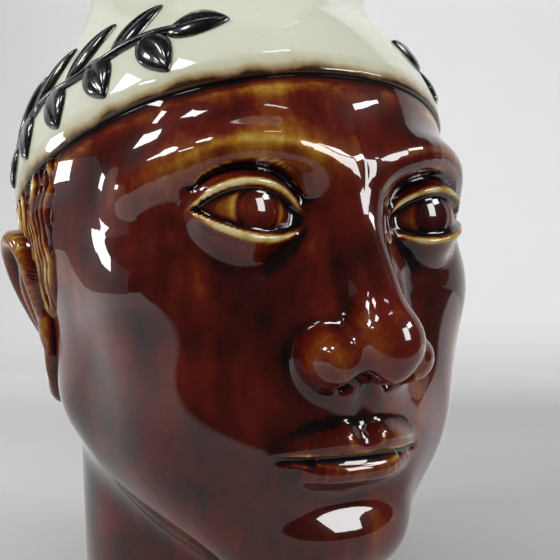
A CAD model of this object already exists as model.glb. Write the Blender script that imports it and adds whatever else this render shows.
"""Blender look of a glazed earthenware carafe in the shape of a head that wears a headscarf.

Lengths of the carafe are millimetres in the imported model's frame (+Z up, the face looks along -Y,
origin at the centre of the foot), and its meshes are written in metres. Lengths of the stage, the
lights and the camera are metres.
"""

from __future__ import annotations

import logging
import math
from dataclasses import dataclass
from enum import Enum
from typing import Callable, Protocol, Sequence

import bpy
import numpy as np
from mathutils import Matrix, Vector

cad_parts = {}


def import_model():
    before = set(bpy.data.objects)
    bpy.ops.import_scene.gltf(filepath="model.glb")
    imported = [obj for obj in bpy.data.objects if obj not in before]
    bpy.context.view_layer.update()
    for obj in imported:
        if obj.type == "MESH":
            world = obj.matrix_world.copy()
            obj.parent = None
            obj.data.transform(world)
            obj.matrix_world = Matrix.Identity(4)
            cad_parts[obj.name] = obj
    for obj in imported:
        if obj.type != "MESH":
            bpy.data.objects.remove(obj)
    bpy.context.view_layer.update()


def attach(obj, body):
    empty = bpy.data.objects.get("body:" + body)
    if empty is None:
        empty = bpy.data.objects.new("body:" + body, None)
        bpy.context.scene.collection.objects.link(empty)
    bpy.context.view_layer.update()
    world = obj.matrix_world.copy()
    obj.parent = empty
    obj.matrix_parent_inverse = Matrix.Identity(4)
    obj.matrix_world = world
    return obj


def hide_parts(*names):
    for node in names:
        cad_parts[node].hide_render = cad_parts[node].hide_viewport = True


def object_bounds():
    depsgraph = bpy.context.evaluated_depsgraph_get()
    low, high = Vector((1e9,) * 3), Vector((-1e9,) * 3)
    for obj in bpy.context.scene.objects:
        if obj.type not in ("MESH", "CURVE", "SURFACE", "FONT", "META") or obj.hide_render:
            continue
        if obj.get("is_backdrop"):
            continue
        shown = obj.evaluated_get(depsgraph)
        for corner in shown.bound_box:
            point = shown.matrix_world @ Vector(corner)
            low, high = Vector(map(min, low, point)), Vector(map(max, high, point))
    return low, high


log = logging.getLogger("face_carafe")

Array = np.ndarray
Field = Callable[[Array], Array]
Colour = tuple[float, float, float]
Pairs = Sequence[tuple[float, float]]
Socket = bpy.types.NodeSocket
MM = 0.001
CAST_REACH = 130.0  # where rays start outside the forms
CAST_STRIDE = 0.75  # share of the distance to the form that a ray walks at once
CAST_CLOSE = 2e-4  # distance at which a ray has arrived
CAST_Z = 90.0  # height on the axis that the hair and the sprays are cast from
UNSTAINED = 40.0  # farther from the scarf's edge than any stain reaches


class Slot(str, Enum):
    """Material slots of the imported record."""

    BROWN = "brown_glaze"
    CREAM = "cream_glaze"
    BLACK = "black_glaze"
    CLAY = "bare_clay"


@dataclass(frozen=True)
class Sizes:
    """Driving sizes, the same as those that head the CAD source."""

    wall: float = 5.0
    seam: float = 0.3
    head_width: float = 110.0
    head_depth: float = 120.0
    skull_z: float = 100.0
    skull_rise: float = 58.5
    forehead_width: float = 87.0
    forehead_round: float = 40.0
    forehead_rise: float = 36.0
    face_width: float = 93.0
    face_round: float = 44.0
    face_front: float = 60.5
    jaw_round: float = 13.0
    chin_width: float = 32.0
    chin_round: float = 14.5
    blend: float = 14.0
    chin_z: float = 9.5
    third: float = 47.5
    eye_drop: float = 11.0
    eye_width: float = 22.8
    eyeball: float = 11.0
    iris_radius: float = 4.9
    iris_rise: float = 0.6
    lid: float = 1.6
    upper_lid_arch: float = 5.4
    lower_lid_arch: float = 3.6
    nose_reach: float = 22.0
    nostril_width: float = 29.0
    mouth_width: float = 37.0
    ear_height: float = 45.0
    ear_drop: float = 10.0
    ear_back: float = 6.0
    ear_stand: float = 4.5
    ear_rim: float = 2.1
    neck_radius: float = 38.5
    neck_flare: float = 0.04
    foot_round: float = 6.0
    base_thickness: float = 5.0
    scarf_thickness: float = 1.5
    scarf_front_z: float = 123.5
    scarf_slope: float = 0.38
    shoulder_z: float = 155.0
    collar_radius: float = 37.0
    collar_height: float = 49.0
    collar_wall: float = 4.5
    collar_waist: float = 1.6
    collar_crowding: float = 0.35
    rim_radius: float = 39.0
    lip_reach: float = 15.0
    lip_spread: float = 0.5
    lip_rise: float = 3.0
    handle_width: float = 19.0
    handle_thickness: float = 10.0
    handle_gap: float = 27.0
    handle_drop: float = 13.0
    handle_foot_drop: float = 29.0
    leaf_length: float = 16.5
    leaf_width: float = 8.0
    leaf_count: int = 10
    relief: float = 1.5
    spray_rise: float = 16.0
    spray_start: float = 38.0
    spray_end: float = 112.0

    @property
    def nose_z(self) -> float:
        """Height of the base of the nose."""
        return self.chin_z + self.third

    @property
    def brow_z(self) -> float:
        """Height of the brow."""
        return self.nose_z + self.third

    @property
    def mouth_z(self) -> float:
        """Height of the line between the lips."""
        return self.nose_z - self.third / 3

    @property
    def eye_z(self) -> float:
        """Height of the eyes."""
        return self.brow_z - self.eye_drop

    @property
    def ear_z(self) -> float:
        """Height of the middle of the ear."""
        return self.nose_z - self.ear_drop + self.ear_height / 2


S = Sizes()


# Distance formulas, on arrays of points whose last axis is x, y, z


def join(a: Array, b: Array, blend: float) -> Array:
    """Smooth union of two distances.

    Formula: the smaller of the two, less a quarter of the squared overlap within the blend width.
    """
    h = np.maximum(blend - np.abs(a - b), 0.0) / blend
    return np.minimum(a, b) - h * h * blend * 0.25


def carve(a: Array, b: Array, blend: float) -> Array:
    """Smooth cut: what is inside a and outside the opposite of b, over a blend width."""
    return -join(-a, b, blend)


def ellipsoid(p: Array, centre: Sequence[float], radii: Sequence[float]) -> Array:
    """Distance from an ellipsoid, close to the true one near its surface.

    Formula: k0 (k0 - 1) / k1, where k0 is the length of the scaled point and k1 that of the point
    scaled twice.
    """
    q = p - np.asarray(centre, float)
    r = np.asarray(radii, float)
    k0 = np.sqrt(((q / r) ** 2).sum(-1))
    k1 = np.sqrt(((q / (r * r)) ** 2).sum(-1))
    return k0 * (k0 - 1.0) / np.maximum(k1, 1e-9)


def rod(p: Array, a: Sequence[float], b: Sequence[float], ra: float, rb: float) -> Array:
    """Distance from a rod between two points with a radius at each end."""
    start = np.asarray(a, float)
    axis = np.asarray(b, float) - start
    q = p - start
    h = np.clip((q @ axis) / (axis @ axis), 0.0, 1.0)
    return np.sqrt(((q - h[..., None] * axis) ** 2).sum(-1)) - ra - (rb - ra) * h


def curve_through(points: Array, count: int) -> Array:
    """Points along a smooth curve through the given ones.

    Formula: a cubic between each two points whose end slopes come from their neighbours, with the
    root of the chord's length as its parameter.
    """
    p = np.asarray(points, float)
    chord = np.concatenate([[0], np.cumsum(np.sqrt(np.linalg.norm(np.diff(p, axis=0), axis=1)))])
    slopes = np.gradient(p, chord, axis=0)
    s = np.linspace(0, chord[-1], count)
    i = np.clip(np.searchsorted(chord, s, side="right") - 1, 0, len(p) - 2)
    h = (chord[i + 1] - chord[i])[:, None]
    t = (s[:, None] - chord[i][:, None]) / h
    first = (2 * t**3 - 3 * t**2 + 1) * p[i] + (t**3 - 2 * t**2 + t) * h * slopes[i]
    return first + (-2 * t**3 + 3 * t**2) * p[i + 1] + (t**3 - t**2) * h * slopes[i + 1]


class BentRod:
    """A rod bent smoothly through stations, as short straight rods in a chain.

    Each station is an offset from the origin, x, y, z, and the radius there.
    """

    NEAR = 20.0
    CUTS = 5

    def __init__(self, stations: Sequence[Sequence[float]], origin: Sequence[float] = (0, 0, 0)) -> None:
        chain = curve_through(np.array(stations) + [*origin, 0], self.CUTS * (len(stations) - 1) + 1)
        self.at, self.radius = chain[:, :3], chain[:, 3]

    def distance(self, p: Array) -> Array:
        """Distance from the rod; far from it only a lower bound, which no blend reaches."""
        near = (np.abs(p - self.at.mean(0)) < np.ptp(self.at, axis=0) / 2 + self.NEAR).all(-1)
        d = np.full(p.shape[:-1], self.NEAR - self.radius.max())
        q = p[near]
        found = np.full(len(q), np.inf)
        for i in range(len(self.at) - 1):
            piece = rod(q, self.at[i], self.at[i + 1], self.radius[i], self.radius[i + 1])
            found = np.minimum(found, piece)
        d[near] = found
        return d


def bell(x: Array, width: float) -> Array:
    """Smooth bump of height 1 at 0: e to the minus square of x over the width."""
    return np.exp(-((x / width) ** 2))


def smoothstep(x: Array, low: float, high: float) -> Array:
    """Rises from 0 at low to 1 at high with level ends."""
    t = np.clip((x - low) / (high - low), 0.0, 1.0)
    return t * t * (3.0 - 2.0 * t)


def mirrored(p: Array) -> Array:
    """The points with x made positive, so that both halves come out the same."""
    return np.concatenate([np.abs(p[..., :1]), p[..., 1:]], -1)


def above_edge(p: Array) -> Array:
    """Height above the sloping plane of the scarf's lower edge, square to it."""
    front = -S.face_front + 5.0
    rise = p[..., 2] - S.scarf_front_z + S.scarf_slope * (p[..., 1] - front)
    return rise / math.hypot(1.0, S.scarf_slope)


class HeadForm:
    """The modelled head: skull, face, features and the short neck that it stands on."""

    def __init__(self) -> None:
        corner = S.mouth_width / 2
        face, mouth = (0, -S.face_front, 0), (0, -S.face_front, S.mouth_z)
        tip = [(0, 8.5 - S.nose_reach, S.nose_z + 13, 5.6)]
        self.bridge = BentRod([(0, 0.7, S.brow_z, 5), (0, -0.6, S.eye_z + 3, 4.9)] + tip, face)
        middle = [(-corner * 0.25, -4.4, 4.1, 3.1), (0, -4.3, 3.8, 3), (corner * 0.25, -4.4, 4.1, 3.1)]
        self.upper_lip = BentRod(middle + [(corner * 0.6, -2, 3, 2.7), (corner, 4, 0.8, 1.3)], mouth)
        middle = [(-corner * 0.43, -1.8, -3.1, 3.6), (0, -2.8, -3.4, 3.9), (corner * 0.43, -1.8, -3.1, 3.6)]
        self.lower_lip = BentRod(middle + [(corner * 0.95, 4.2, 0, 1.3)], mouth)
        arch = [(4, -0.5, -2, 4.2), (18, -1, 1.8, 4), (31, 6, 1, 3.4), (41, 20, -5, 2.4)]
        self.brow = BentRod(arch, (0, -S.face_front, S.brow_z))

    def mass(self, p: Array) -> Array:
        """Skull, forehead, face, jaw and chin before any feature. x must be positive."""
        f = S.face_front
        skull = ellipsoid(p, (0, 0, S.skull_z), (S.head_width / 2, S.head_depth / 2, S.skull_rise))
        centre = (0, S.forehead_round - f, S.brow_z + S.forehead_rise / 8)
        forehead = ellipsoid(p, centre, (S.forehead_width / 2, S.forehead_round, S.forehead_rise))
        face_z = S.mouth_z + S.third * 0.53
        centre = (0, S.face_round + 0.5 - f, face_z)
        face = ellipsoid(p, centre, (S.face_width / 2, S.face_round, face_z - S.chin_z))
        corner = (S.face_width / 2 - S.jaw_round, -S.jaw_round * 0.6, S.chin_z + S.third * 0.9)
        front = (S.chin_width / 2 - 4, S.jaw_round + 3 - f, S.chin_z + S.jaw_round + 0.5)
        jaw = rod(p, corner, front, S.jaw_round, S.jaw_round)
        centre = (0, S.chin_round - 1.5 - f, S.chin_z + S.chin_round)
        chin = ellipsoid(p, centre, (S.chin_width / 2, S.chin_round, S.chin_round))
        upper = join(skull, forehead, S.blend * 0.8)
        return join(join(join(upper, face, S.blend), jaw, S.blend), chin, S.blend * 0.65)

    def neck(self, p: Array) -> Array:
        """The round neck, flared a little upwards, with a rounded lower edge."""
        radius = np.hypot(p[..., 0], p[..., 1])
        side = radius - S.neck_radius - S.neck_flare * p[..., 2]
        return np.maximum(carve(side, p[..., 2] + 1.5, S.foot_round), p[..., 2] - S.skull_z + 20)

    def eyelid_gap(self, p: Array) -> tuple[Array, Array]:
        """Distances in front view: outside the almond opening of the eye, and above its upper lid."""
        half = S.eye_width / 2
        dx, dz = p[..., 0] - S.eye_width, p[..., 2] - S.eye_z
        s = np.clip((dx + half) / S.eye_width, 0, 1)
        arch = (4 * s * (1 - s)) ** 0.75
        corners = -1.2 + 2 * s
        above = dz - corners - S.upper_lid_arch * arch
        below = corners - S.lower_lid_arch * arch - dz
        gap, beyond = np.maximum(above, below), np.abs(dx) - half
        return np.where(beyond > 0, np.hypot(beyond, gap), gap) * 0.85, above

    def eyes(self, p: Array, face: Array) -> Array:
        """Raises an eyeball to lids round an almond opening, with a bead along the lids' edge, a
        crease above the upper lid, and a lightly incised iris."""
        half = S.eye_width / 2
        cy = S.eyeball - 1.5 - S.face_front
        dx, dz = p[..., 0] - S.eye_width, p[..., 2] - S.eye_z
        outside, above = self.eyelid_gap(p)
        bead = 0.6 * bell(outside - 1.5, 0.85) * smoothstep(half + 1.5 - np.abs(dx), 0, 4)
        lift = S.lid * smoothstep(outside, -0.5, 1.1) + bead
        ball = np.sqrt(dx**2 + (p[..., 1] - cy) ** 2 + dz**2) - S.eyeball
        crease = 0.9 * bell(above - 4.6, 0.85) * smoothstep(half + 3 - np.abs(dx), 0, 6)
        rho = np.hypot(dx, dz - S.iris_rise)
        iris = 0.2 * bell(rho - S.iris_radius, 0.6) * smoothstep(-outside, 0, 1.2)
        return join(face, ball - lift, 3) + crease + iris

    def nose(self, p: Array, face: Array) -> Array:
        """Adds the bridge, tip, wings and nostrils."""
        f = S.face_front
        tip = -f - S.nose_reach
        wing = S.nostril_width / 2
        flank = rod(p, (0, 6.5 - f, S.eye_z + 1), (0, -0.5 - f, S.nose_z + 9), 8.5, wing - 2.5)
        ball = ellipsoid(p, (0, tip + 7, S.nose_z + 9), (7.4, 7, 6.7))
        side = ellipsoid(p, (wing - 5, tip + 15, S.nose_z + 6), (5.4, 8.4, 6))
        partition = rod(p, (0, tip + 6, S.nose_z + 4.8), (0, tip + 18.5, S.nose_z + 2), 3, 3.4)
        nostril = ellipsoid(p, (5.6, tip + 12, S.nose_z), (2.8, 5.2, 3.4))
        nose = join(join(join(self.bridge.distance(p), ball, 6), partition, 3), side, 3.5)
        return carve(join(join(face, flank, 10), nose, 3.2), nostril, 1.6)

    def mouth(self, p: Array, face: Array) -> Array:
        """Adds the swell of the mouth, closed lips with a line between them, the groove under the
        nose and the fold above the chin."""
        corner, front, z = S.mouth_width / 2, -S.face_front, S.mouth_z
        muzzle = ellipsoid(p, (0, front + 10, z + 4), (corner + 4.5, 13.5, 18))
        lips = join(self.upper_lip.distance(p), self.lower_lip.distance(p), 3)
        fold = ellipsoid(p, (0, front - 7, z - 11), (15, 7, 3.2))
        groove = ellipsoid(p, (0, front - 8.4, z + 10.5), (2.6, 3.0, 6.5))
        d = carve(carve(join(join(face, muzzle, 10), lips, 2.2), fold, 7), groove, 3)
        in_front = smoothstep(-p[..., 1], S.face_front - 12, S.face_front - 4)
        return d + bell(p[..., 2] - z - 0.2, 0.7) * smoothstep(corner + 1 - p[..., 0], 0, 4) * in_front

    def form(self, points: Array) -> Array:
        """The whole outside of the head, down to the foot."""
        p = mirrored(points)
        f = S.face_front
        # Cheekbones, cheeks, brow and the hollows that the eyes lie in
        d = self.mass(p)
        d = join(d, ellipsoid(p, (S.face_width * 0.31, 21 - f, S.eye_z - 17), (14.5, 12.5, 13)), 18)
        d = join(d, ellipsoid(p, (S.face_width * 0.26, 22 - f, S.mouth_z + 8), (15, 14, 17)), 16)
        d = join(d, self.brow.distance(p), 11)
        d = carve(d, ellipsoid(p, (S.eye_width + 0.7, -7.5 - f, S.eye_z + 0.5), (16.5, 12, 8.6)), 9)
        d = self.eyes(p, self.mouth(p, self.nose(p, d)))
        return join(d, self.neck(p), 5)

    def cavity(self, points: Array) -> Array:
        """The smooth hollow inside, from the foot to the collar."""
        p = mirrored(points)
        room = join(self.mass(p) + S.wall, column(p, S.neck_radius - S.wall, -12, S.skull_z - 20), 6)
        return join(room, column(p, S.collar_radius - S.collar_wall, S.skull_z, S.shoulder_z + 12), 6)

    def scarf(self, points: Array) -> Array:
        """The scarf's outside over the skull, drawn up into the stub that the collar stands on."""
        p = mirrored(points)
        stub = column(p, S.collar_radius, S.skull_z, S.shoulder_z + 12)
        return join(self.mass(p) - S.scarf_thickness, stub, 7)


def column(p: Array, radius: float, low: float, high: float) -> Array:
    """Distance from a round column about the axis between two heights."""
    side = np.hypot(p[..., 0], p[..., 1]) - radius
    return np.maximum(side, np.maximum(p[..., 2] - high, low - p[..., 2]))


HEAD = HeadForm()


def march(
    form: Field, origins: Array, directions: Array, reach: float = CAST_REACH, steps: int = 90
) -> Array:
    """Walks in along each ray from far outside until it meets the form.

    Args:
        form: distance formula of the form.
        origins: start points of the rays, in the form.
        directions: unit directions outwards.
        reach: distance from which the walk starts, outside the form.
        steps: most steps taken; rays that have arrived take no more.

    Returns:
        The points met, in the shape of the directions.
    """
    o = np.broadcast_to(origins, directions.shape).reshape(-1, 3)
    d = directions.reshape(-1, 3)
    t = np.full(len(d), float(reach))
    active = np.arange(len(d))
    for _ in range(steps):
        gap = form(o[active] + d[active] * t[active, None])
        t[active] -= CAST_STRIDE * gap
        active = active[np.abs(gap) > CAST_CLOSE]
        if not len(active):
            break
    return (o + d * t[:, None]).reshape(directions.shape)


def direction(turn: Array, tilt: Array) -> Array:
    """Unit direction at an angle round from the face and an angle above level, in radians."""
    return np.stack([np.sin(turn) * np.cos(tilt), -np.cos(turn) * np.cos(tilt), np.sin(tilt)], -1)


def tilt_where(form: Field, turn: Array, height: float, test: Field, low: float, high: float) -> Array:
    """Tilt at which each column's surface point passes a test from negative to positive."""
    lo, hi = np.full(turn.shape, low), np.full(turn.shape, high)
    origin = np.array([0.0, 0.0, height])
    for _ in range(20):
        mid = (lo + hi) / 2
        inside = test(march(form, origin, direction(turn, mid))) < 0
        lo, hi = np.where(inside, mid, lo), np.where(inside, hi, mid)
    return (lo + hi) / 2


def fan(form: Field, turns: Array, tilts: Array, heights: Array) -> Array:
    """Surface points of a form on a grid of rows and columns.

    Args:
        form: distance formula.
        turns: angle round from the face of each column.
        tilts: tilt of each row and column.
        heights: height on the axis that each row is cast from.
    """
    rows = direction(np.broadcast_to(turns, tilts.shape), tilts)
    origins = np.zeros_like(rows)
    origins[..., 2] = heights[:, None]
    return march(form, origins, rows)


def band(
    form: Field,
    turns: Array,
    heights: Array,
    tests: tuple[Field, Field],
    limits: tuple[tuple[float, float], tuple[float, float]],
    share: Array,
) -> Array:
    """Rows of a form between two lines across it.

    Args:
        form: distance formula.
        turns: angle round from the face of each column.
        heights: height on the axis that each row is cast from.
        tests: what turns positive at the lowest row, and what does at the highest.
        limits: lowest and highest tilt tried for each of the two.
        share: share of the way up at which each row lies.
    """
    low = tilt_where(form, turns, heights[0], tests[0], *limits[0])
    high = tilt_where(form, turns, heights[-1], tests[1], *limits[1])
    low = np.minimum(low, high - 0.03)
    return fan(form, turns, low + (high - low) * share[:, None], heights)


def unit(v: Array) -> Array:
    """Vectors of length 1 in the same directions."""
    return v / np.maximum(np.linalg.norm(v, axis=-1, keepdims=True), 1e-9)


def gradient(form: Field, p: Array, step: float = 0.2) -> Array:
    """Unit outward normal of a form, from differences over a small step."""
    return unit(np.stack([form(p + e) - form(p - e) for e in np.eye(3) * step], -1))


def bulge(form: Field, p: Array, step: float) -> Array:
    """How strongly a form curves outwards: above 0 on ridges, below 0 in hollows, in 1/mm.

    Formula: the Laplacian of the distance, from six neighbours at the step.
    """
    total = sum(form(p + e) + form(p - e) for e in np.eye(3) * step)
    return (total - 6 * form(p)) / step**2


def glaze_break(form: Field, p: Array) -> Array:
    """How thin the glaze lies: above 0 where it runs off narrow ridges, below 0 where it pools.

    Formula: the fine bulge read through a rising curve that leaves broad forms alone, plus a
    little of the broad bulge.
    """
    fine = np.interp(
        bulge(form, p, 0.8),
        [-1.4, -0.5, -0.1, 0.3, 0.5, 0.8, 1.3],
        [-0.44, -0.24, -0.04, 0.0, 0.10, 0.30, 0.50],
    )
    broad = np.interp(bulge(form, p, 3.0), [-0.3, -0.03, 0.06, 0.16, 0.3], [-0.24, 0.0, 0.0, 0.03, 0.05])
    return fine + broad


def spread(pairs: Pairs, count: int) -> Array:
    """Values at even shares from 0 to 1, read from (share, value) pairs."""
    shares, values = zip(*pairs)
    return np.interp(np.linspace(0, 1, count), shares, values)


def once_round(count: int) -> Array:
    """Angles at even steps once round."""
    return np.linspace(0, 2 * math.pi, count, endpoint=False)


def turned(radius: Array, turn: Array, z: Array) -> Array:
    """Points at a radius from the axis, an angle round from the face and a height."""
    return np.stack(np.broadcast_arrays(radius * np.sin(turn), -radius * np.cos(turn), z), -1)


def side_name(side: int) -> str:
    """The carafe's own side that a positive or a negative x lies on."""
    return "left" if side > 0 else "right"


def with_wall(skin: Array, wall: Array, value: float = 0.0) -> Array:
    """Values on the rows of a skin, followed by one value on those of the hidden wall behind it."""
    return np.concatenate([skin, np.full(wall.shape[:2], value)])


def above_foot(p: Array) -> Array:
    """Height above the plane that the carafe stands on."""
    return p[..., 2]


def above_shoulder(p: Array) -> Array:
    """Height above the plane that the collar stands on."""
    return p[..., 2] - S.shoulder_z


def whole_mass(points: Array) -> Array:
    """Distance from the head's mass on both sides."""
    return HEAD.mass(mirrored(points))


# Meshes


def quads(rows: int, columns: int, ring: bool = False, loop: bool = True) -> Array:
    """Four-cornered faces of a grid of points.

    Args:
        rows: number of rows.
        columns: number of points in a row.
        ring: whether the last row joins the first.
        loop: whether each row closes on itself.
    """
    i, j = np.meshgrid(np.arange(rows - (not ring)), np.arange(columns - (not loop)), indexing="ij")
    low, high = i * columns, (i + 1) % rows * columns
    after = (j + 1) % columns
    return np.stack([low + j, low + after, high + after, high + j], -1).reshape(-1, 4)


def add_object(name: str, data: bpy.types.ID) -> bpy.types.Object:
    """Adds an object to the scene."""
    made = bpy.data.objects.new(name, data)
    bpy.context.scene.collection.objects.link(made)
    return made


def make_mesh(
    name: str, points: Array, faces: Sequence[Array], material: bpy.types.Material
) -> bpy.types.Mesh:
    """Makes a smooth mesh from points in metres and from one array of faces per number of corners."""
    mesh = bpy.data.meshes.new(name)
    sizes = np.concatenate([np.full(len(face), face.shape[1]) for face in faces])
    ends = np.concatenate([face.reshape(-1) for face in faces])
    mesh.vertices.add(len(points))
    mesh.vertices.foreach_set("co", points.astype(np.float32).ravel())
    mesh.loops.add(len(ends))
    mesh.loops.foreach_set("vertex_index", ends.astype(np.int32))
    mesh.polygons.add(len(sizes))
    mesh.polygons.foreach_set("loop_start", (np.cumsum(sizes) - sizes).astype(np.int32))
    mesh.update(calc_edges=True)
    mesh.validate()
    mesh.polygons.foreach_set("use_smooth", np.ones(len(mesh.polygons), bool))
    mesh.materials.append(material)
    return mesh


class MeshPiece:
    """A mesh object in the making, with points in millimetres."""

    def __init__(self, name: str) -> None:
        self.name = name
        self.points: list[Array] = []
        self.faces: list[Array] = []
        self.count = 0
        self.values: dict[str, list[Array]] = {}

    def _add(self, points: Array, faces: list[Array], values: dict[str, Array]) -> None:
        """Adds one closed body, turned so that its faces look outwards."""
        flat = points.reshape(-1, 3)
        volume = 0.0
        for face in faces:
            for i in range(1, face.shape[1] - 1):
                a, b, c = flat[face[:, 0]], flat[face[:, i]], flat[face[:, i + 1]]
                volume += float((a * np.cross(b, c)).sum())
        for face in faces:
            turned = face if volume > 0 else face[:, ::-1]
            self.faces.append(turned + self.count)
        self.points.append(flat)
        self.count += len(flat)
        for key, value in values.items():
            self.values.setdefault(key, []).append(np.asarray(value, float).reshape(-1))

    def add_ring(self, grid: Array, values: dict[str, Array]) -> None:
        """Adds a grid that closes on itself both ways, such as a wall round a bore."""
        self._add(grid, [quads(*grid.shape[:2], ring=True)], values)

    def add_capped(self, grid: Array, values: dict[str, Array]) -> None:
        """Adds rows of closed loops whose first and last loops are closed with a fan to a middle point."""
        n, m = grid.shape[:2]
        k = np.arange(m)
        ends = [grid[0].mean(0), grid[-1].mean(0)]
        first = np.stack([np.full(m, n * m), (k + 1) % m, k], -1)
        last = np.stack([np.full(m, n * m + 1), (n - 1) * m + k, (n - 1) * m + (k + 1) % m], -1)
        points = np.concatenate([grid.reshape(-1, 3), ends])
        full = {}
        for key, value in values.items():
            value = np.asarray(value, float)
            full[key] = np.concatenate([value.reshape(-1), [value[0].mean(), value[-1].mean()]])
        self._add(points, [quads(n, m), first, last], full)

    def build(self, finish: Finish) -> bpy.types.Object:
        """Makes the Blender object, rides it on the model's body and gives it its finish."""
        mesh = make_mesh(self.name, np.concatenate(self.points) * MM, self.faces, finish.material())
        for key, parts in self.values.items():
            layer = mesh.attributes.new(key, "FLOAT", "POINT")
            layer.data.foreach_set("value", np.concatenate(parts).astype(np.float32))
        piece = add_object(self.name, mesh)
        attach(piece, "root")
        log.info("%s: %d faces", self.name, len(mesh.polygons))
        return piece


# Finishes


class Nodes:
    """Small helper that adds nodes to a material and links them."""

    def __init__(self, name: str) -> None:
        self.material = bpy.data.materials.new(name)
        self.material.use_nodes = True
        self.tree = self.material.node_tree
        self.shader = self.tree.nodes["Principled BSDF"]

    def put(self, socket: Socket, value: object) -> None:
        """Links an output to a socket, or sets the socket's own value."""
        if isinstance(value, Socket):
            self.tree.links.new(value, socket)
        else:
            socket.default_value = value

    def shade(self, name: str, value: object) -> None:
        """Links an output to an input of the shader, or sets the input's own value."""
        self.put(self.shader.inputs[name], value)

    def add(
        self, kind: str, inputs: dict[str | int, object], output: str | int = 0, **settings: object
    ) -> Socket:
        """Adds a node, sets its own properties and its inputs, and gives one of its outputs."""
        node = self.tree.nodes.new(kind)
        for key, value in settings.items():
            setattr(node, key, value)
        for key, value in inputs.items():
            self.put(node.inputs[key], value)
        return node.outputs[output]

    def coordinates(self) -> Socket:
        """The object's own coordinates, in metres."""
        return self.add("ShaderNodeTexCoord", {}, "Object")

    def axis(self, name: str, point: Socket) -> Socket:
        """One of the three coordinates of a point."""
        return self.add("ShaderNodeSeparateXYZ", {0: point}, name)

    def value(self, name: str) -> Socket:
        """A number stored on the mesh's points."""
        return self.add("ShaderNodeAttribute", {}, "Fac", attribute_name=name)

    def noise(self, scale: float, detail: float = 3.0, stretch: Sequence[float] = (1, 1, 1)) -> Socket:
        """Noise from 0 to 1 in object coordinates, stretched along each axis."""
        where = self.add("ShaderNodeMapping", {"Vector": self.coordinates(), "Scale": stretch})
        return self.add("ShaderNodeTexNoise", {"Vector": where, "Scale": scale, "Detail": detail}, "Fac")

    def plus(self, a: object, b: object, clamp: bool = False) -> Socket:
        """Sum of two values, held between 0 and 1 if clamp is set."""
        return self.add("ShaderNodeMath", {0: a, 1: b}, operation="ADD", use_clamp=clamp)

    def times(self, a: object, b: object) -> Socket:
        """Product of two values."""
        return self.add("ShaderNodeMath", {0: a, 1: b}, operation="MULTIPLY")

    def remap(
        self, value: object, low: float, high: float, to_low: float = 0.0, to_high: float = 1.0
    ) -> Socket:
        """Moves a value from one range to another and holds it there."""
        ends = {"From Min": low, "From Max": high, "To Min": to_low, "To Max": to_high}
        return self.add("ShaderNodeMapRange", {"Value": value, **ends}, "Result")

    def ramp(self, value: object, stops: Sequence[tuple[float, Colour]]) -> Socket:
        """Colour from a value, through (place, colour) stops."""
        node = self.tree.nodes.new("ShaderNodeValToRGB")
        self.put(node.inputs["Fac"], value)
        bar = node.color_ramp.elements
        while len(bar) < len(stops):
            bar.new(0.5)
        for element, (place, colour) in zip(bar, stops):
            element.position = place
            element.color = (*colour, 1.0)
        return node.outputs["Color"]

    def mix(self, factor: object, a: object, b: object) -> Socket:
        """Mixes two colours."""
        a, b = ((*colour, 1.0) if isinstance(colour, tuple) else colour for colour in (a, b))
        return self.add("ShaderNodeMix", {"Factor": factor, 6: a, 7: b}, 2, data_type="RGBA")

    def bump(self, height: object, strength: float, distance: float) -> Socket:
        """Bump from a height, with its real distance in metres."""
        inputs = {"Height": height, "Strength": strength, "Distance": distance}
        return self.add("ShaderNodeBump", inputs, "Normal")

    def glass_coat(self, roughness: float = 0.02, body: object = 0.3, specular: float = 0.35) -> None:
        """Sets the clear, glassy top of a fired glaze over a softer body colour."""
        self.shade("Roughness", body)
        self.shade("Specular IOR Level", specular)
        self.shade("Coat Weight", 1.0)
        self.shade("Coat Roughness", roughness)
        self.shade("Coat IOR", 1.55)


class Finish:
    """A finish that makes its material once."""

    slot: Slot
    name: str

    def nodes(self) -> Nodes:
        """Builds the material's nodes."""
        raise NotImplementedError

    def material(self) -> bpy.types.Material:
        """The material, made the first time it is asked for."""
        return bpy.data.materials.get(self.name) or self.nodes().material


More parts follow.
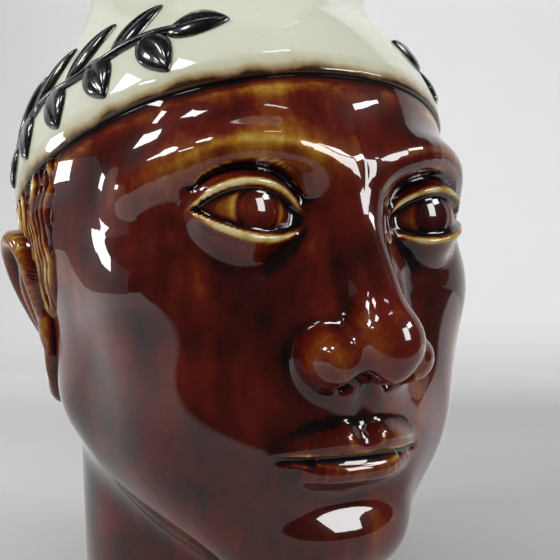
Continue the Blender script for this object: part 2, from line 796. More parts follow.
class BrownGlaze(Finish):
    """Treacle glaze: cream and honey where it thins on ridges, nearly black where it pools."""

    slot = Slot.BROWN
    name = "treacle_glaze"

    def nodes(self) -> Nodes:
        """Glaze colour from its thinness, broken up by flow, mottling and specks."""
        n = Nodes(self.name)
        thin, edge = n.value("thin"), n.value("below_edge")
        runs = n.noise(120, 4, (1, 1, 0.22))
        speck = n.noise(1300, 2)
        place = n.times(thin, n.remap(n.noise(260, 3), 0.3, 0.7, 0.62, 1.25))
        for wave, low, high, least, most in (
            (runs, 0.32, 0.5, -0.11, 0.0),
            (runs, 0.54, 0.72, 0.0, 0.07),
            (n.noise(230, 4, (1, 1, 0.35)), 0.3, 0.7, -0.04, 0.04),
            (n.noise(55, 4), 0.32, 0.68, -0.13, 0.11),
            (n.noise(19, 3), 0.36, 0.66, -0.10, 0.065),
            (speck, 0.35, 0.65, -0.015, 0.015),
        ):
            place = n.plus(place, n.remap(wave, low, high, least, most))
        run_off = n.times(n.remap(edge, 1.4, 2.8), n.remap(edge, 7.5, 3.2))
        broken = n.remap(n.noise(120, 3, (1, 1, 2.0)), 0.36, 0.6, 0.05, 0.27)
        place = n.plus(place, n.times(run_off, broken))
        place = n.plus(place, n.remap(edge, 1.7, 0.5, 0.0, -0.42))
        colour = n.ramp(
            n.plus(place, 0.42, clamp=True),
            [
                (0.0, (0.003, 0.002, 0.002)),
                (0.16, (0.012, 0.0025, 0.002)),
                (0.32, (0.055, 0.0045, 0.0026)),
                (0.46, (0.112, 0.0090, 0.0035)),
                (0.55, (0.185, 0.040, 0.0045)),
                (0.68, (0.36, 0.165, 0.013)),
                (0.84, (0.58, 0.41, 0.115)),
                (1.0, (0.70, 0.62, 0.37)),
            ],
        )
        n.shade("Base Color", colour)
        n.glass_coat(roughness=0.012, body=n.remap(place, 0.0, 0.4, 0.3, 0.45), specular=0.04)
        n.shade("Coat Normal", n.bump(n.noise(190, 2), 0.035, 0.0004))
        n.shade("Normal", n.bump(speck, 0.08, 0.0002))
        return n


class CreamGlaze(Finish):
    """Cream-white glaze that thins to tan and brown at the scarf's edge and on the rim."""

    slot = Slot.CREAM
    name = "cream_white_glaze"

    def nodes(self) -> Nodes:
        """Greenish cream with faint clouds and iron specks, stained towards its edges."""
        n = Nodes(self.name)
        edge, rim = n.value("above_edge"), n.value("rim")
        cloud = n.noise(26, 3)
        speck = n.noise(1100, 1)
        base = n.mix(n.remap(cloud, 0.35, 0.65), (0.720, 0.742, 0.595), (0.760, 0.772, 0.635))
        base = n.mix(n.remap(speck, 0.72, 0.80, 0.0, 0.4), base, (0.34, 0.25, 0.13))
        wander = n.plus(edge, n.remap(n.noise(130, 3), 0.3, 0.7, -0.8, 0.8))
        for far, near, share, stain in (
            (5.6, 2.4, 0.5, (0.47, 0.395, 0.185)),
            (2.6, 1.2, 0.85, (0.29, 0.155, 0.035)),
            (1.2, 0.4, 0.97, (0.036, 0.011, 0.004)),
        ):
            base = n.mix(n.remap(wander, far, near, 0.0, share), base, stain)
        worn = n.times(rim, n.remap(n.noise(160, 3), 0.35, 0.65, 0.5, 1.0))
        base = n.mix(n.remap(worn, 0.3, 1.0, 0.0, 0.8), base, (0.42, 0.27, 0.12))
        n.shade("Base Color", base)
        n.glass_coat(roughness=0.015, body=n.remap(cloud, 0.3, 0.7, 0.32, 0.4), specular=0.05)
        n.shade("Subsurface Weight", 0.06)
        n.shade("Subsurface Radius", (0.0012, 0.001, 0.0007))
        n.shade("Coat Normal", n.bump(n.noise(180, 2), 0.04, 0.0004))
        return n


class BlackGlaze(Finish):
    """Black relief enamel that thins to dark brown at the relief's foot."""

    slot = Slot.BLACK
    name = "black_enamel"

    def nodes(self) -> Nodes:
        """Near-black with a brown break where the enamel ends on the cream."""
        n = Nodes(self.name)
        height = n.plus(n.value("crest"), n.remap(n.noise(420, 3), 0.35, 0.65, -0.12, 0.12))
        foot, flank, crest = (0.10, 0.062, 0.03), (0.012, 0.009, 0.009), (0.0035, 0.0035, 0.005)
        n.shade("Base Color", n.ramp(height, [(0.0, foot), (0.14, flank), (0.3, crest)]))
        n.glass_coat(roughness=0.02, body=n.remap(n.noise(600, 2), 0.3, 0.7, 0.2, 0.35), specular=0.35)
        n.shade("Coat Normal", n.bump(n.noise(420, 2), 0.1, 0.0004))
        return n


class BareClay(Finish):
    """Unglazed buff clay with grit, sponge marks and table wear."""

    slot = Slot.CLAY
    name = "wiped_clay"

    def nodes(self) -> Nodes:
        """Buff clay with grit and darker wear."""
        n = Nodes(self.name)
        grit, cloud = n.noise(1800, 3), n.noise(45, 4)
        base = n.mix(n.remap(cloud, 0.35, 0.65), (0.50, 0.38, 0.25), (0.62, 0.50, 0.36))
        base = n.mix(n.remap(grit, 0.62, 0.72, 0.0, 0.6), base, (0.20, 0.13, 0.08))
        n.shade("Base Color", base)
        n.shade("Roughness", n.remap(cloud, 0.3, 0.7, 0.75, 0.9))
        n.shade("Normal", n.bump(n.plus(grit, cloud), 0.35, 0.0003))
        return n


# Pieces of the carafe


class Part(Protocol):
    """A piece that makes its own object."""

    def build(self) -> None:
        """Makes the piece."""


@dataclass
class Head:
    """The brown head with its neck and foot, as one closed shell under the scarf."""

    finish: Finish = BrownGlaze()
    side: tuple[int, int, int] = (100, 52, 32)
    rows: int = 236
    inner_rows: int = 22
    crowding: Pairs = ((0, 0), (0.12, 0.17), (0.24, 0.28), (0.5, 0.48), (1, 1))
    cast_z: Pairs = ((0, 66), (0.12, 68), (0.3, 76), (0.6, 92), (1, 98))

    def turns(self) -> Array:
        """Angles of the columns: close together on the face, wide apart at the nape."""
        front, flank, back = self.side
        spans = ((0, 48, front), (48, 112, flank), (112, 180, back))
        half = [np.linspace(low, high, count, endpoint=False) for low, high, count in spans]
        half = np.concatenate([*half, [180]])
        return np.radians(np.concatenate([half, -half[-2:0:-1]]))

    def skin(self, form: Field, turns: Array, rows: int, pairs: Pairs) -> Array:
        """Rows of a form from the foot's plane up to the scarf's edge."""
        heights = spread(self.cast_z, rows)
        tests = (above_foot, lambda p: above_edge(p) + S.seam)
        grid = band(form, turns, heights, tests, ((-1.2, -0.8), (-0.9, 0.9)), spread(pairs, rows))
        grid[0, :, 2] = 0.0
        return grid

    @staticmethod
    def drawn_glaze(p: Array) -> Array:
        """Thinner glaze along the crest of each brow and on the eyeballs, thicker on the irises."""
        q = mirrored(p)
        crest = np.interp(q[..., 0], HEAD.brow.at[:, 0], HEAD.brow.at[:, 2]) + 2.2
        reach = smoothstep(q[..., 0], 3, 10) * smoothstep(42 - q[..., 0], 0, 12) * (q[..., 1] < -25)
        brow = 0.17 * bell(q[..., 2] - crest, 1.1) * reach
        rho = np.hypot(q[..., 0] - S.eye_width, q[..., 2] - S.eye_z - S.iris_rise)
        open_eye = smoothstep(-HEAD.eyelid_gap(q)[0], 0.2, 1.4)
        eye = (0.2 - 0.34 * smoothstep(S.iris_radius + 0.3 - rho, 0, 0.8)) * open_eye
        return brow + eye * (q[..., 1] < -30)

    def build(self) -> None:
        """Makes the shell from its outer skin and inner wall."""
        turns = self.turns()
        outer = self.skin(HEAD.form, turns, self.rows, self.crowding)
        inner = self.skin(HEAD.cavity, turns, self.inner_rows, ((0, 0), (1, 1)))[::-1]
        values = {
            "thin": with_wall(glaze_break(HEAD.form, outer) + self.drawn_glaze(outer), inner),
            "below_edge": with_wall(-above_edge(outer), inner, UNSTAINED),
        }
        shell = MeshPiece("head")
        shell.add_ring(np.concatenate([outer, inner]), values)
        piece = shell.build(self.finish)
        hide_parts("head_shell")


@dataclass
class Scarf:
    """The cream scarf over the skull, with a soft rounded edge that stands proud of the head."""

    finish: Finish = CreamGlaze()
    columns: int = 300
    rows: int = 120
    inner_rows: int = 28
    edge_round: float = 0.9
    edge_taper: float = 0.55
    crowding: float = 1.7
    cast_z: tuple[float, float] = (94.0, 98.0)

    def build(self) -> None:
        """Makes the shell from its outer skin and the hollow inside."""
        turns = once_round(self.columns)
        tests = (above_edge, above_shoulder)
        share = np.append(np.linspace(0, 1, self.rows - 1) ** self.crowding, 1.0)
        share[-2] = 0.998
        heights = np.linspace(*self.cast_z, self.rows)
        outer = band(HEAD.scarf, turns, heights, tests, ((-0.9, 1.0), (0.3, 1.3)), share)
        outer[-1, :, 2] = S.shoulder_z
        drop = self.edge_round - np.clip(above_edge(outer), 0, self.edge_round)
        inset = self.edge_round - np.sqrt(np.maximum(self.edge_round**2 - drop**2, 0))
        inset += self.edge_taper * (1 - smoothstep(above_edge(outer), 0, 5))
        outer -= gradient(HEAD.scarf, outer) * inset[..., None]
        share = np.linspace(0, 1, self.inner_rows)
        heights = np.linspace(*self.cast_z, self.inner_rows)
        inner = band(HEAD.cavity, turns, heights, tests, ((-0.9, 1.0), (0.3, 1.35)), share)[::-1]
        values = {
            "above_edge": np.concatenate([above_edge(outer), above_edge(inner)]),
            "rim": with_wall(np.zeros(outer.shape[:2]), inner),
        }
        shell = MeshPiece("scarf")
        shell.add_ring(np.concatenate([outer, inner]), values)
        piece = shell.build(self.finish)
        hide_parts("scarf_shell")


@dataclass
class Collar:
    """The open collar with its rounded rim and drawn-out pouring lip."""

    finish: Finish = CreamGlaze()
    columns: int = 192
    rows: int = 43
    rim_rows: int = 13

    @staticmethod
    def outside(turn: Array, share: Array) -> Array:
        """Outer radius at a turn and a share of the height, waisted and pulled out at the lip."""
        pull = bell(turn, S.lip_spread)
        waist = -S.collar_waist * np.sin(math.pi * share) + (S.rim_radius - S.collar_radius) * share
        return S.collar_radius + waist + S.lip_reach * pull * share**1.5

    def build(self) -> None:
        """Makes the wall as one closed loop: up the outside, over the rim and down the bore."""
        turn = once_round(self.columns) - math.pi
        turn = (turn - S.collar_crowding * np.sin(turn))[None, :]
        pull = bell(turn, S.lip_spread)
        top = S.collar_height + S.lip_rise * pull
        climb = np.concatenate([[0, 0.002], np.linspace(0.02, 1, self.rows)])[:, None]
        bend = np.linspace(0, math.pi, self.rim_rows + 2)[1:-1, None]
        rim = S.collar_wall / 2
        up = self.outside(turn, climb * (1 - rim / S.collar_height))
        up_z = S.shoulder_z + (top - rim) * climb
        over = self.outside(turn, np.array([[1.0]])) - rim + rim * np.cos(bend)
        over_z = S.shoulder_z + top - rim + rim * np.sin(bend)
        radius = np.concatenate([up, over, up[::-1] - S.collar_wall])
        z = np.concatenate([up_z, over_z, up_z[::-1]])
        lip = smoothstep(z - S.shoulder_z - S.collar_height, -3.5, 0.5)
        values = {"above_edge": np.full(z.shape, UNSTAINED), "rim": lip}
        wall = MeshPiece("collar_wall")
        wall.add_ring(turned(radius, turn, z), values)
        piece = wall.build(self.finish)
        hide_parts("collar")


@dataclass
class Handle:
    """Strap handle from the collar's back to the scarf, flared where it is luted on."""

    finish: Finish = CreamGlaze()
    rings: int = 90
    sides: int = 48
    upper_flare: tuple[float, float] = (0.30, 0.055)
    lower_flare: tuple[float, float] = (0.26, 0.075)
    groove: float = 0.16

    def build(self) -> None:
        """Sweeps an oval with a shallow thumb groove along the handle's path."""
        back = S.collar_radius + S.handle_gap + S.handle_thickness / 2
        upper = S.shoulder_z + S.collar_height - S.handle_drop
        foot_z = S.shoulder_z - S.handle_foot_drop
        backwards = direction(np.array(math.pi), np.array(0.0))
        foot_y = march(HEAD.scarf, np.array([0, 0, foot_z]), backwards, S.head_depth)[1]
        path = curve_through(
            [
                (0, S.collar_radius - 2.5, upper - 1),
                (0, S.collar_radius + 9, upper + 2),
                (0, back - 7, upper - 2),
                (0, back, upper - 17),
                (0, back - 2, S.shoulder_z - 5),
                (0, foot_y + S.handle_thickness / 2, foot_z + S.handle_thickness * 0.8),
                (0, foot_y - S.handle_thickness * 0.15, foot_z),
            ],
            self.rings,
        )
        along = unit(np.gradient(path, axis=0))
        out = np.stack([np.zeros(len(path)), along[:, 2], -along[:, 1]], -1)
        s = np.linspace(0, 1, self.rings)
        (top, top_reach), (foot, foot_reach) = self.upper_flare, self.lower_flare
        flare = 1 + top * bell(s, top_reach) + foot * bell(1 - s, foot_reach)
        around = once_round(self.sides)
        wide = (S.handle_width / 2 * flare)[:, None] * np.cos(around)
        groove = 1 - self.groove * bell(np.cos(around), 0.4) * (np.sin(around) < 0)
        thick = (S.handle_thickness / 2 * flare)[:, None] * np.sin(around) * groove
        grid = path[:, None] + out[:, None] * thick[..., None]
        grid = grid + np.array([1.0, 0, 0]) * wide[..., None]
        sweep = MeshPiece("strap_handle")
        flat = np.zeros(grid.shape[:2])
        sweep.add_capped(grid, {"above_edge": flat + UNSTAINED, "rim": flat})
        piece = sweep.build(self.finish)
        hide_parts("handle")


class EarForm:
    """One ear, modelled on the side of a positive x: a plate with a rolled rim, an inner ridge, a
    hollow before the hole, the flap in front of it and the lobe."""

    def __init__(self) -> None:
        stand = S.ear_stand
        edge = [
            (1.8, -0.1, -0.08, 0.7),
            (2.4, -0.28, 0.34, 0.9),
            (2.8, -0.2, 0.72, 1),
            (stand - 1, 0.1, 0.88, 1.08),
            (stand - 0.2, 0.38, 0.76, 1.1),
            (stand, 0.53, 0.42, 1.08),
            (stand - 0.4, 0.49, 0.04, 1),
            (stand - 1.2, 0.37, -0.32, 0.95),
            (stand - 2, 0.21, -0.62, 1),
            (1.6, 0.04, -0.82, 1.1),
        ]
        self.rim = BentRod([(*self.at(*place), share * S.ear_rim) for *place, share in edge])
        inner = [(2.2, 0.1, 0.64, 1.1), (3, 0.26, 0.3, 1.7), (3, 0.27, -0.06, 1.7), (1.8, 0.1, -0.42, 1.5)]
        self.ridge = BentRod([(*self.at(*place), radius) for *place, radius in inner])

    @staticmethod
    def at(stand_off: float, back: float, up: float) -> tuple[float, float, float]:
        """Point at a stand-off from the side of the head, at shares of the ear's half height."""
        half = S.ear_height / 2
        start = np.array([[0.0, S.ear_back + back * half, S.ear_z + up * half]])
        x, y, z = march(HEAD.mass, start, np.array([[1.0, 0.0, 0.0]]), S.head_width)[0]
        return (x + stand_off, y, z)

    def distance(self, p: Array) -> Array:
        """Distance from the ear and, sunk a little, the skull that it grows from."""
        half = S.ear_height / 2
        skull = HEAD.mass(p)
        y, z = p[..., 1] - S.ear_back - 0.12 * half, p[..., 2] - S.ear_z
        leaned = y - 0.2 * z
        outline = (np.hypot(leaned / (half * 0.42), z / (half * 0.82)) - 1) * half * 0.42
        plate = carve(skull - 2.6, -outline, 2.0)
        lobe = ellipsoid(p, self.at(0.6, 0.0, -0.74), (3.4, 4.8, 5.6))
        flap = ellipsoid(p, self.at(1.0, -0.22, -0.14), (2.6, 2.5, 4.2))
        hollow = ellipsoid(p, self.at(3.0, 0.03, -0.06), (3.6, 3.6, 7.5))
        bowl = carve(join(plate, lobe, 3), hollow, 2.0)
        ear = join(join(bowl, self.rim.distance(p), 1.2), self.ridge.distance(p), 1.4)
        return join(join(ear, flap, 1.6), skull + 1.0, 1.5)


@dataclass
class Ear:
    """One ear in relief on the side of the head."""

    side: int
    finish: Finish = BrownGlaze()
    rings: int = 92
    sides: int = 160

    def build(self) -> None:
        """Casts the ear inwards on a polar grid in side view and closes it inside the head."""
        form = EarForm().distance
        radius = (np.linspace(0.02, 1, self.rings) ** 0.8)[:, None]
        angle = once_round(self.sides)
        reach_y, reach_z = S.ear_height * 0.36, S.ear_height * 0.545
        y = S.ear_back + 2.6 + radius * (reach_y * np.cos(angle) + 3.0 * np.sin(angle))
        z = S.ear_z + radius * reach_z * np.sin(angle)
        start = np.stack([np.zeros_like(y), y, z], -1)
        outwards = np.broadcast_to(np.array([1.0, 0, 0]), start.shape)
        top = march(form, start, outwards, 75, 120)
        under = top[-1:] - np.array([3.0, 0, 0])
        grid = np.concatenate([top, under])
        values = {
            "thin": with_wall(glaze_break(form, top), under),
            "below_edge": with_wall(np.maximum(-above_edge(top), 9), under, UNSTAINED),
        }
        grid[..., 0] *= self.side
        label = side_name(self.side)
        ear = MeshPiece(f"ear_relief_{label}")
        ear.add_capped(grid, values)
        piece = ear.build(self.finish)
        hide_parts(f"ear_{label}")


@dataclass
class Hair:
    """Cropped wavy locks between the scarf and the ears, round to the nape, as relief on the head."""

    finish: Finish = BrownGlaze()
    columns: int = 620
    rows: int = 120
    inner_rows: int = 8
    height: float = 1.5
    lock_width: float = 2.7
    lock_length: float = 34.0
    sunk: float = 0.35
    depth: float = 1.6
    span: float = 109.0
    nape_z: float = 68.0
    temple_rise: float = 30.0
    ear_fall: float = 12.0
    head_radius: float = 57.0

    def locks(self, u: Array, v: Array) -> Array:
        """Height of the locks from 0 to 1 over arc length and height, in millimetres.

        Formula: columns of locks that sway with height; each is round across and tapers to both
        ends, and every column starts at its own place so that the ends fall in turn.
        """
        sway = u + 1.1 * np.sin(v * 0.30 + u * 0.11) + 0.45 * np.sin(v * 0.75 + 1.7 * np.sin(u * 0.23))
        across = sway / self.lock_width
        column_no = np.floor(across)
        own = 0.5 + 0.5 * np.sin(column_no * 2.4 + 1.3 * np.sin(column_no * 1.7))
        along = v / (self.lock_length * (0.85 + 0.4 * own)) + 2.7 * own
        fa = 2 * (across - column_no) - 1
        fb = along - np.floor(along)
        taper = np.clip(np.sin(math.pi * fb), 0, 1) ** 0.3
        skew = fa - 0.35 * (fb - 0.5)
        return np.sqrt(np.clip(1 - (skew / np.maximum(taper, 0.05)) ** 2, 0, 1)) * taper

    def build(self) -> None:
        """Casts a band of the skull between the hairline and the scarf, raised by the locks."""
        turn = np.radians(np.linspace(180 - self.span, 180 + self.span, self.columns))
        away = np.abs(turn - math.pi)
        front = math.radians(self.span) - away
        side_low = self.nape_z + self.temple_rise * bell(front, math.radians(6))
        side_low -= self.ear_fall * smoothstep(front, 0.45, 0.9)
        tests = (lambda p: p[..., 2] - side_low, lambda p: above_edge(p) + 0.4)
        share = np.linspace(0, 1, self.rows)
        skin = band(whole_mass, turn, np.full(self.rows, CAST_Z), tests, ((-1.1, 0.6), (-0.9, 0.7)), share)
        u = (turn - math.pi) * self.head_radius
        v = skin[..., 2]
        fade = smoothstep(v - side_low, 0.0, 4.0) * smoothstep(front + 0.02 * np.sin(v * 0.9), 0.0, 0.11)
        lock = self.locks(np.broadcast_to(u, v.shape), v)
        normal = gradient(whole_mass, skin)
        outer = skin + normal * ((0.1 + self.height * lock) * fade - self.sunk)[..., None]
        few = np.linspace(self.rows - 1, 0, self.inner_rows).round().astype(int)
        inner = (skin - normal * self.depth)[few]
        grid = np.concatenate([outer, inner]).transpose(1, 0, 2)
        thin = np.interp(lock, [0, 0.35, 0.75, 1], [-0.36, -0.16, 0.24, 0.46]) * fade
        values = {
            "thin": with_wall(thin, inner).T,
            "below_edge": with_wall(np.maximum(-above_edge(outer), 1.0), inner, UNSTAINED).T,
        }
        locks = MeshPiece("hair_relief")
        locks.add_capped(grid, values)
        locks.build(self.finish)


@dataclass
class LeafSpray:
    """Raised black spray: a stem level with the scarf's edge and leaves in turn on both sides."""

    side: int
    finish: Finish = BlackGlaze()
    scarf_radius: float = 58.0
    lean: float = 0.65
    slant: float = 0.12
    leaf_rings: int = 26
    leaf_sides: int = 28
    stem_rings: int = 90
    stem_sides: int = 16
    stem_radii: tuple[float, float] = (1.25, 0.9)

    def place(self, turn: Array, rise: Array) -> Array:
        """Points of the scarf at a turn and a rise above its edge."""
        tilt = tilt_where(HEAD.scarf, turn, CAST_Z, lambda p: above_edge(p) - rise, -0.5, 1.3)
        return march(HEAD.scarf, np.array([0.0, 0.0, CAST_Z]), direction(turn, tilt))

    def leaf(self, piece: MeshPiece, turn: float, tip_turn: float, lean: float) -> None:
        """Adds a puffed almond leaf with a sunk midrib, laid on the scarf from its stalk to its tip."""
        along = unit(np.array([(tip_turn - turn) * self.scarf_radius, lean]))
        across = np.array([-along[1], along[0]])
        s = np.linspace(0.015, 0.985, self.leaf_rings)[:, None]
        around = once_round(self.leaf_sides)
        half = S.leaf_width / 2 * np.sin(math.pi * s**0.85) ** 0.8
        v = np.cos(around)
        u = s * S.leaf_length - 1.5
        sway = 0.9 * np.sin(math.pi * s)
        flat = u[..., None] * along + (half * v + sway)[..., None] * across
        p = self.place(turn + flat[..., 0] / self.scarf_radius, S.spray_rise + flat[..., 1])
        dome = np.sqrt(np.maximum(1 - v**2, 0)) * np.sin(math.pi * s) ** 0.45
        rib = 0.45 * bell(v, 0.14) * np.sin(math.pi * s)
        lift = np.where(np.sin(around) >= 0, S.relief * (dome - rib) + 0.1, -0.7 * dome)
        grid = p + gradient(HEAD.scarf, p) * lift[..., None]
        piece.add_capped(grid, {"crest": np.where(np.sin(around) >= 0, dome, 0.0)})

    def stem(self, piece: MeshPiece, turns: Array) -> None:
        """Adds the stem, half sunk in the scarf and tapered towards its tip."""
        p = self.place(turns, S.spray_rise + 1.0 * np.sin(np.linspace(0, 4 * math.pi, len(turns))))
        out = gradient(HEAD.scarf, p)
        across = np.cross(out, unit(np.gradient(p, axis=0)))
        around = once_round(self.stem_sides)
        radius = np.linspace(*self.stem_radii, len(turns))[:, None]
        grid = (
            p[:, None]
            + across[:, None] * (radius * np.cos(around))[..., None]
            + out[:, None] * (radius * np.sin(around) * 1.1)[..., None]
        )
        piece.add_capped(grid, {"crest": np.broadcast_to(np.sin(around), grid.shape[:2])})

    def build(self) -> None:
        """Makes the stem and its leaves as one piece."""
        label = side_name(self.side)
        piece = MeshPiece(f"leaf_relief_{label}")
        start, end = math.radians(S.spray_start) * self.side, math.radians(S.spray_end) * self.side
        self.stem(piece, np.linspace(start, end, self.stem_rings))
        for i in range(S.leaf_count):
            share = 1 - i / (S.leaf_count - 1) * 0.97
            last = i == S.leaf_count - 1
            turn = start + (end - start) * share
            lean = 0.0 if last else (1 if i % 2 else -1) * S.leaf_length * self.lean
            self.leaf(piece, turn, turn - (end - start) * self.slant, lean)
        made = piece.build(self.finish)
        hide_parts(f"leaf_spray_{label}")


@dataclass
class Base:
    """The disc that closes the foot, turned, with a wiped ring and a worn edge."""

    finish: Finish = BareClay()
    sides: int = 128

    def build(self) -> None:
        """Turns the disc's outline about the axis."""
        radius = S.neck_radius - S.wall - S.seam
        outline = [(2, 0), (radius - 9, 0), (radius - 8.2, 0.25), (radius - 7.4, 0), (radius - 1.2, 0)]
        outline += [(radius - 0.3, 0.35), (radius, 1.2), (radius, S.base_thickness - 0.6)]
        outline += [(radius - 0.6, S.base_thickness), (2, S.base_thickness)]
        r, z = np.array(outline).T[..., None]
        disc = MeshPiece("foot_disc")
        disc.add_capped(turned(r, once_round(self.sides), z), {})
        piece = disc.build(self.finish)
        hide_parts("base_disc")


@dataclass
class Carafe:
    """The whole carafe."""

    parts: tuple[Part, ...] = (
        Head(),
        Scarf(),
        Collar(),
        Handle(),
        Ear(1),
        Ear(-1),
        Hair(),
        LeafSpray(1),
        LeafSpray(-1),
        Base(),
    )

    def build(self) -> None:
        """Builds every piece."""
        for part in self.parts:
            part.build()


# Stage, light and camera


def area_light(name: str, size: tuple[float, float], radiance: float) -> bpy.types.Object:
    """Adds a rectangular light of an even radiance to the scene."""
    light = bpy.data.lights.new(name, "AREA")
    light.shape = "RECTANGLE"
    light.size, light.size_y = size
    light.energy = radiance * math.pi * size[0] * size[1]
    return add_object(name, light)


@dataclass(frozen=True)
class WindowLight:
    """A window: a bright pane at a turn, a tilt in degrees and a distance, turned to the carafe.

    lights_matt says whether it lights matt surfaces too, or is only mirrored in the glaze.
    """

    name: str
    turn: float
    tilt: float
    distance: float
    pane: tuple[float, float]
    radiance: float
    lights_matt: bool = True
    aim_z: float = 0.09

    def build(self) -> None:
        """Adds the light."""
        place = Vector(direction(np.radians(self.turn), np.radians(self.tilt)) * self.distance)
        lamp = area_light(self.name, self.pane, self.radiance)
        lamp.location = place + Vector((0, 0, self.aim_z))
        lamp.rotation_mode = "QUATERNION"
        lamp.rotation_quaternion = (-place).to_track_quat("-Z", "Y")
        lamp.visible_diffuse = self.lights_matt


@dataclass(frozen=True)
class Studio:
    """A pale table top that runs up into a paper backdrop, window lights and a dim room."""

    lights: tuple[WindowLight, ...] = (
        WindowLight("left_window_low", -86, 36, 1.0, (0.16, 0.05), 18),
        WindowLight("left_window_back", -109, 40, 1.0, (0.19, 0.17), 18),
        WindowLight("left_window_high", -80, 55, 1.0, (0.15, 0.17), 18),
        WindowLight("front_window", 28, 19, 0.95, (0.28, 0.42), 14, lights_matt=False),
        WindowLight("right_window", 50, 31, 0.95, (0.30, 0.13), 17),
        WindowLight("side_window", -130, 9, 0.95, (0.15, 0.09), 14),
        WindowLight("roof_window", 5, 68, 1.0, (0.20, 0.05), 9),
    )
    turn: float = math.radians(-29)
    table_tone: tuple[float, float] = (0.61, 0.445)
    wall_tone: float = 0.77
    wash: float = 2.25
    table_edge: float = 0.155
    table_glow: tuple[float, float] = (0.43, 0.92)
    side_glow: float = 0.27
    fill: float = 0.57
    gloom: float = 0.035

    def paper_material(self) -> bpy.types.Material:
        """Matt pale paper with a very slight cloud, a little greyer on the table than behind it."""
        n = Nodes("paper")
        cloud = n.remap(n.noise(6, 2), 0.3, 0.7, 0.985, 1.0)
        turned = {"Vector": n.coordinates(), "Rotation": (0, 0, self.turn)}
        place = n.add("ShaderNodeMapping", turned, vector_type="TEXTURE")
        across, depth = n.axis("X", place), n.axis("Y", place)
        tone = n.remap(depth, -0.05, 0.22, *self.table_tone)
        tone = n.times(tone, n.remap(across, -0.14, 0.14, 1.16, 0.97))
        rise = n.remap(depth, 0.28, 0.6, 0.0, self.wall_tone - self.table_tone[1])
        rise = n.times(rise, n.remap(across, -0.3, 0.1, 0.27, 1.0))
        tone = n.times(n.plus(tone, rise), cloud)
        n.shade("Base Color", n.add("ShaderNodeCombineColor", {0: tone, 1: tone, 2: tone}))
        n.shade("Roughness", 0.85)
        n.shade("Specular IOR Level", 0.1)
        return n.material

    @staticmethod
    def glowing(n: Nodes, level: object) -> bpy.types.Material:
        """Turns a material into one that only gives off light."""
        n.shade("Base Color", (0, 0, 0, 1))
        n.shade("Specular IOR Level", 0.0)
        n.shade("Emission Color", (1, 1, 1, 1))
        n.shade("Emission Strength", level)
        return n.material

    def table_light(self) -> bpy.types.Material:
        """Light of the table top as the glaze mirrors it, brighter away from the carafe and ending
        at the table's near edge."""
        n = Nodes("table_glow")
        fade = 0.012
        place = n.coordinates()
        inside = n.remap(n.axis("Y", place), -self.table_edge - fade, -self.table_edge + fade)
        away = n.add("ShaderNodeVectorMath", {0: place}, "Value", operation="LENGTH")
        glow = n.remap(away, 0.08, 0.35, *self.table_glow)
        return self.glowing(n, n.plus(n.times(inside, glow), self.gloom))

    def stage_piece(self, name: str, grid: Array, material: bpy.types.Material) -> bpy.types.Object:
        """Adds one open sheet of the stage from a grid of points in metres."""
        faces = [quads(*grid.shape[:2], loop=False)]
        sheet = add_object(name, make_mesh(name, grid.reshape(-1, 3), faces, material))
        sheet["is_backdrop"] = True
        return sheet

    def mirrored_room(self) -> None:
        """The table top and a pale side wall that the glaze mirrors, seen by nothing else."""
        side = np.linspace(-1.4, 1.4, 3)
        x, y = np.meshgrid(side, side, indexing="ij")
        flat = np.stack([x, y, np.full(x.shape, -2e-4)], -1)
        table = self.stage_piece("table_mirrored", flat, self.table_light())
        turn = np.radians(np.linspace(-168, -100, 9))[:, None]
        round_wall = turned(1.0, turn, np.array([[0.0, 0.3]]))
        glow = self.glowing(Nodes("wall_glow"), self.side_glow)
        wall = self.stage_piece("wall_mirrored", round_wall, glow)
        for sheet in (table, wall):
            sheet.visible_camera = sheet.visible_diffuse = sheet.visible_shadow = False

    def sweep(self) -> None:
        """A floor that curves up into a backdrop behind the carafe."""
        right = np.array([math.cos(self.turn), math.sin(self.turn), 0.0])
        back = np.array([-math.sin(self.turn), math.cos(self.turn), 0.0])
        up = np.array([0.0, 0.0, 1.0])
        bend = 0.35
        angles = np.linspace(0, math.pi / 2, 24)
        floor_run = np.array([-0.8, -0.3, 0.0, 0.3])
        wall_run = np.concatenate([[0.3, 0.4], 0.45 + bend * np.sin(angles), [0.8]])
        wall_rise = np.concatenate([[0, 0], bend * (1 - np.cos(angles)), [1.3]])
        across = np.linspace(-2.4, 2.4, 9)[None, :, None] * right

        def sheet(run: Array, rise: Array) -> Array:
            """Points of a sheet as wide as the stage, from its outline in side view."""
            return run[:, None, None] * back + rise[:, None, None] * up + across

        paper = self.paper_material()
        floor = self.stage_piece("paper_floor", sheet(floor_run, np.full(4, -4e-4)), paper)
        floor.visible_glossy = False
        self.stage_piece("paper_backdrop", sheet(wall_run, wall_rise - 4e-4), paper)

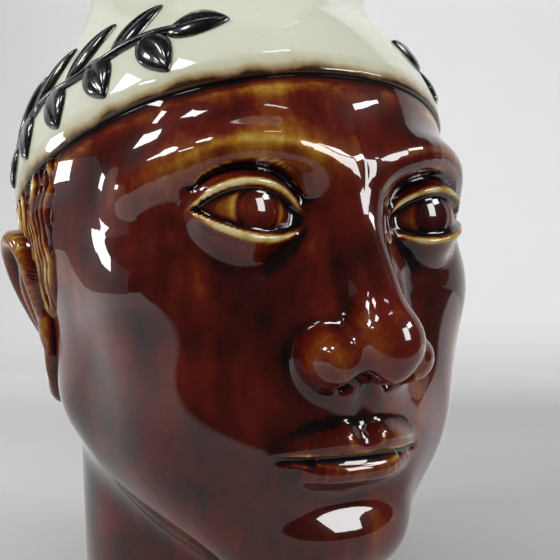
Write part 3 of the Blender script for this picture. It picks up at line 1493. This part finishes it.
    def backdrop_wash(self) -> None:
        """A light above and behind the carafe that faces the backdrop alone."""
        lamp = area_light("backdrop_wash", (2.4, 0.3), self.wash)
        lamp.location = Vector((-math.sin(self.turn), math.cos(self.turn), 0)) * 0.25 + Vector((0, 0, 1.0))
        lamp.rotation_euler = (math.radians(72), 0, self.turn)
        lamp.visible_glossy = False

    def room(self) -> None:
        """Room light: a soft fill on matt surfaces, but dim where the glaze mirrors it."""
        world = bpy.data.worlds.new("room")
        world.use_nodes = True
        tree = world.node_tree
        background = tree.nodes["Background"]
        background.inputs["Color"].default_value = (1, 1, 1, 1)
        path = tree.nodes.new("ShaderNodeLightPath")
        level = tree.nodes.new("ShaderNodeMapRange")
        level.inputs["To Min"].default_value = self.fill
        level.inputs["To Max"].default_value = self.gloom
        tree.links.new(path.outputs["Is Glossy Ray"], level.inputs["Value"])
        tree.links.new(level.outputs["Result"], background.inputs["Strength"])
        bpy.context.scene.world = world

    def build(self) -> None:
        """Adds the stage, the lights and the room."""
        self.mirrored_room()
        self.sweep()
        self.backdrop_wash()
        self.room()
        for light in self.lights:
            light.build()
        bpy.context.scene.view_settings.view_transform = "Standard"


@dataclass(frozen=True)
class Camera:
    """The photograph's view: close and level with the eyes, from the head's right front."""

    turn: float = -29.0
    tilt: float = 1.0
    distance: float = 0.260
    across: float = 0.0141
    aim_z: float = 0.0785
    lens: float = 60.6

    def build(self) -> None:
        """Adds the camera and makes it the scene's."""
        turn, tilt = math.radians(self.turn), math.radians(self.tilt)
        back = Vector(direction(turn, tilt))
        data = bpy.data.cameras.new("camera")
        data.lens = self.lens
        data.clip_start = 0.01
        camera = add_object("camera", data)
        aim = Vector((math.cos(turn), math.sin(turn), 0)) * self.across + Vector((0, 0, self.aim_z))
        camera.location = aim + back * self.distance
        camera.rotation_mode = "QUATERNION"
        camera.rotation_quaternion = (-back).to_track_quat("-Z", "Y")
        bpy.context.scene.camera = camera


def corners() -> list[list[float]]:
    """The shown object's box as plain numbers."""
    low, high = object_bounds()
    return [list(map(float, low)), list(map(float, high))]


def main() -> None:
    """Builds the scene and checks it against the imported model."""
    logging.basicConfig(level=logging.INFO, format="%(name)s %(message)s")
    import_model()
    Camera().build()
    Studio().build()
    Carafe().build()


if __name__ == "__main__":
    main()
